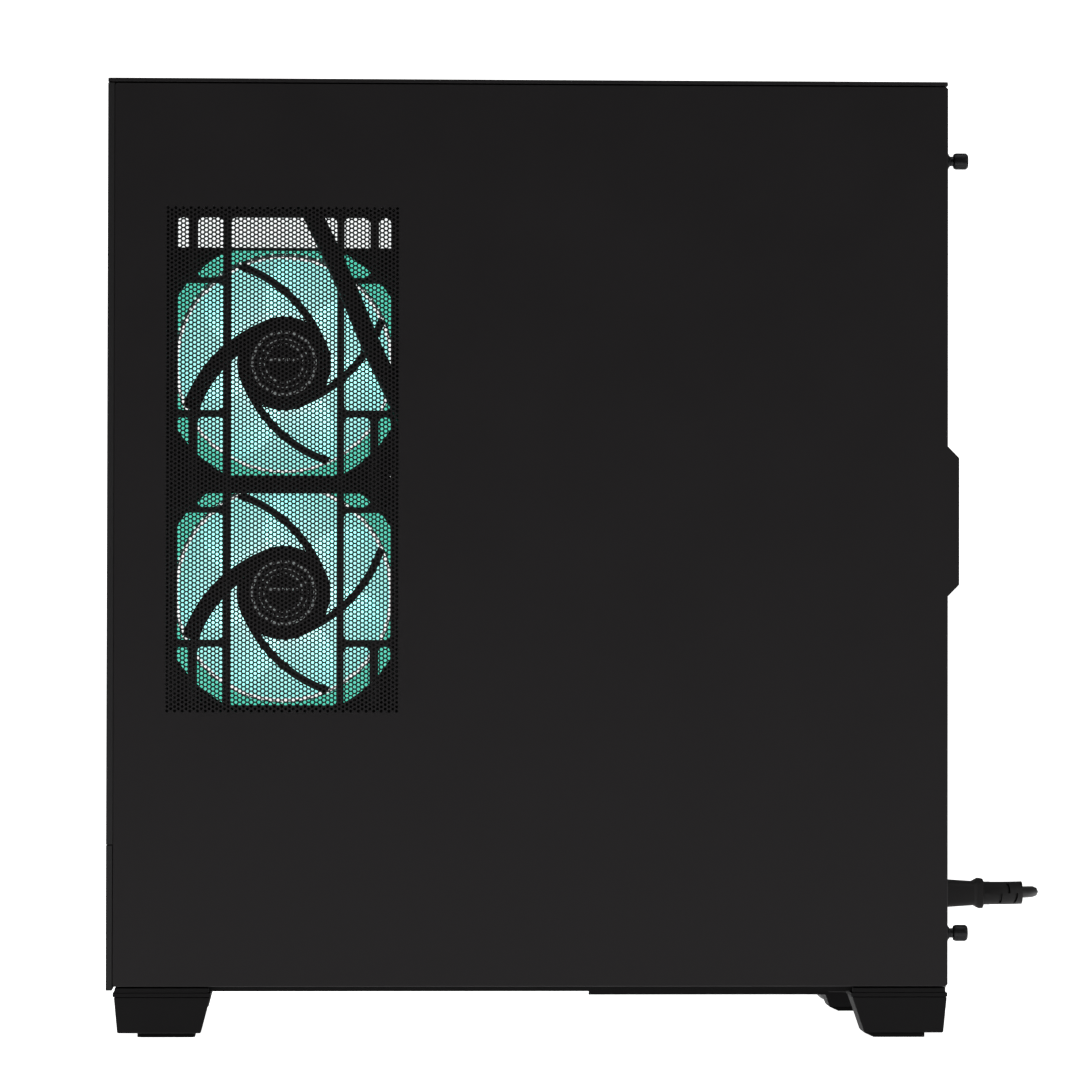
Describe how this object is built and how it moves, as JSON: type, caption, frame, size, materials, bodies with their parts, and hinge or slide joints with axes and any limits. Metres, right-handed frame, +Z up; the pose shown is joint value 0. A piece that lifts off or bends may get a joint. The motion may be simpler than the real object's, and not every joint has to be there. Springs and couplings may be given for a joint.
{
  "type": "desktop computer tower",
  "caption": "Mid-tower desktop computer with a steel side panel, perforated vent over lit side fans, glass window and front, captive thumbscrews, four feet and a mains lead.",
  "frame": {"origin": "middle of the footprint without the mains lead, on the floor", "axes": "+Z up, -Y the glass front, +Y the rear with its sockets, +X the perforated steel panel, -X the glass window"},
  "size_m": [0.4065, 0.5139, 0.5065],
  "materials": {
    "chassis_steel": "fine black powder coat, satin",
    "panel_powder_coat": "fine grained charcoal powder coat, matte",
    "window_glass": "lightly tinted tempered glass, polished",
    "trim_plastic": "moulded, fine texture",
    "blackened_screw": "black oxide, knurled",
    "foot_plastic": "moulded, fine texture",
    "pad_rubber": "matte",
    "filter_mesh": "fine woven nylon mesh in a moulded frame",
    "button_plastic": "gloss",
    "circuit_board": "black solder mask",
    "fan_frame_plastic": "moulded, fine texture",
    "lit_blade_plastic": "milky translucent, lit cyan",
    "dark_blade_plastic": "moulded, satin",
    "heatsink_aluminium": "black anodised, satin",
    "radiator_paint": "black, satin",
    "pump_cap": "gloss",
    "tube_rubber": "braided sleeve, matte",
    "card_shroud": "moulded, satin",
    "supply_case": "black powder coat, matte",
    "cable_jacket": "soft vinyl, matte",
    "plug_rubber": "moulded vinyl, matte"
  },
  "bodies": {
    "case": {"base_plate": "chassis_steel", "rear_panel": "chassis_steel", "top_frame": "chassis_steel", "front_frame": "chassis_steel", "motherboard_tray": "chassis_steel", "side_fan_bracket": "chassis_steel", "power_supply_shroud": "chassis_steel", "left_lower_skirt": "panel_powder_coat", "front_lower_trim": "trim_plastic", "front_right_foot": "foot_plastic", "front_left_foot": "foot_plastic", "rear_right_foot": "foot_plastic", "rear_left_foot": "foot_plastic", "front_right_foot_pad": "pad_rubber", "front_left_foot_pad": "pad_rubber", "rear_right_foot_pad": "pad_rubber", "rear_left_foot_pad": "pad_rubber", "motherboard": "circuit_board", "front_socket_board": "circuit_board", "side_fan_upper_frame": "fan_frame_plastic", "side_fan_lower_frame": "fan_frame_plastic", "rear_fan_frame": "fan_frame_plastic", "radiator_fan_front_frame": "fan_frame_plastic", "radiator_fan_rear_frame": "fan_frame_plastic", "regulator_heatsink": "heatsink_aluminium", "chipset_heatsink": "heatsink_aluminium", "memory_module_1": "heatsink_aluminium", "memory_module_2": "heatsink_aluminium", "radiator": "radiator_paint", "processor_pump_block": "pump_cap", "coolant_tube_outlet": "tube_rubber", "coolant_tube_inlet": "tube_rubber", "graphics_card": "card_shroud", "power_supply": "supply_case", "front_panel_cable": "cable_jacket", "power_cord": "cable_jacket", "power_cord_coil": "cable_jacket", "power_cord_end": "cable_jacket", "power_plug": "plug_rubber", "wall_plug": "plug_rubber"},
    "right_side_panel": {"right_side_panel": "panel_powder_coat"},
    "upper_thumbscrew": {"thumbscrew_upper": "blackened_screw"},
    "lower_thumbscrew": {"thumbscrew_lower": "blackened_screw"},
    "window": {"left_glass_panel": "window_glass"},
    "front_window": {"front_glass_panel": "window_glass"},
    "top_cover": {"top_panel": "panel_powder_coat"},
    "filter": {"dust_filter": "filter_mesh"},
    "power_button": {"power_button": "button_plastic"},
    "reset_button": {"reset_button": "button_plastic"},
    "rocker": {"rocker_switch": "button_plastic"},
    "side_fan_upper_rotor": {"side_fan_upper_rotor": "lit_blade_plastic"},
    "side_fan_lower_rotor": {"side_fan_lower_rotor": "lit_blade_plastic"},
    "rear_fan_rotor": {"rear_fan_rotor": "lit_blade_plastic"},
    "radiator_fan_front_rotor": {"radiator_fan_front_rotor": "lit_blade_plastic"},
    "radiator_fan_rear_rotor": {"radiator_fan_rear_rotor": "lit_blade_plastic"},
    "graphics_fan_front": {"graphics_fan_front": "dark_blade_plastic"},
    "graphics_fan_rear": {"graphics_fan_rear": "dark_blade_plastic"},
    "power_supply_fan": {"power_supply_fan": "dark_blade_plastic"}
  },
  "joints": [
    {"name": "side_fan_upper_spin", "type": "hinge", "parent": "case", "child": "side_fan_upper_rotor", "pos_m": [0.093, -0.1355, 0.3566], "axis": [1, 0, 0], "continuous": true},
    {"name": "side_fan_lower_spin", "type": "hinge", "parent": "case", "child": "side_fan_lower_rotor", "pos_m": [0.093, -0.1355, 0.2348], "axis": [1, 0, 0], "continuous": true},
    {"name": "rear_fan_spin", "type": "hinge", "parent": "case", "child": "rear_fan_rotor", "pos_m": [-0.0216, 0.2, 0.372], "axis": [0, 1, 0], "continuous": true},
    {"name": "radiator_fan_front_spin", "type": "hinge", "parent": "case", "child": "radiator_fan_front_rotor", "pos_m": [0.01, -0.0023, 0.46], "axis": [0, 0, 1], "continuous": true},
    {"name": "radiator_fan_rear_spin", "type": "hinge", "parent": "case", "child": "radiator_fan_rear_rotor", "pos_m": [0.01, 0.1183, 0.46], "axis": [0, 0, 1], "continuous": true},
    {"name": "graphics_fan_front_spin", "type": "hinge", "parent": "case", "child": "graphics_fan_front", "pos_m": [0.01875, 0.0138, 0.21], "axis": [0, 0, 1], "continuous": true},
    {"name": "graphics_fan_rear_spin", "type": "hinge", "parent": "case", "child": "graphics_fan_rear", "pos_m": [0.01875, 0.1299, 0.21], "axis": [0, 0, 1], "continuous": true},
    {"name": "power_supply_fan_spin", "type": "hinge", "parent": "case", "child": "power_supply_fan", "pos_m": [0.014, 0.1386, 0.038], "axis": [0, 0, 1], "continuous": true},
    {"name": "power_button_press", "type": "slide", "parent": "case", "child": "power_button", "axis": [0, 1, 0], "range_m": [0, 0.0015], "stiffness_N_per_m": 500},
    {"name": "reset_button_press", "type": "slide", "parent": "case", "child": "reset_button", "axis": [0, 1, 0], "range_m": [0, 0.0015], "stiffness_N_per_m": 400},
    {"name": "rocker_tilt", "type": "hinge", "parent": "case", "child": "rocker", "pos_m": [0.003, 0.2076, 0.0697], "axis": [1, 0, 0], "range_deg": [-8, 0]},
    {"name": "side_panel_slide", "type": "slide", "parent": "case", "child": "right_side_panel", "axis": [0, 1, 0], "range_m": [0, 0.018]},
    {"name": "upper_thumbscrew_turn", "type": "hinge", "parent": "right_side_panel", "child": "upper_thumbscrew", "pos_m": [0.1055, 0.22, 0.4655], "axis": [0, 1, 0], "continuous": true},
    {"name": "lower_thumbscrew_turn", "type": "hinge", "parent": "right_side_panel", "child": "lower_thumbscrew", "pos_m": [0.1055, 0.22, 0.0545], "axis": [0, 1, 0], "continuous": true},
    {"name": "window_pull", "type": "slide", "parent": "case", "child": "window", "axis": [-1, 0, 0], "range_m": [0, 0.02]},
    {"name": "front_window_pull", "type": "slide", "parent": "case", "child": "front_window", "axis": [0, -1, 0], "range_m": [0, 0.015]},
    {"name": "top_cover_lift", "type": "slide", "parent": "case", "child": "top_cover", "axis": [0, 0, 1], "range_m": [0, 0.02]},
    {"name": "filter_slide", "type": "slide", "parent": "case", "child": "filter", "axis": [0, 1, 0], "range_m": [0, 0.19]}
  ]
}
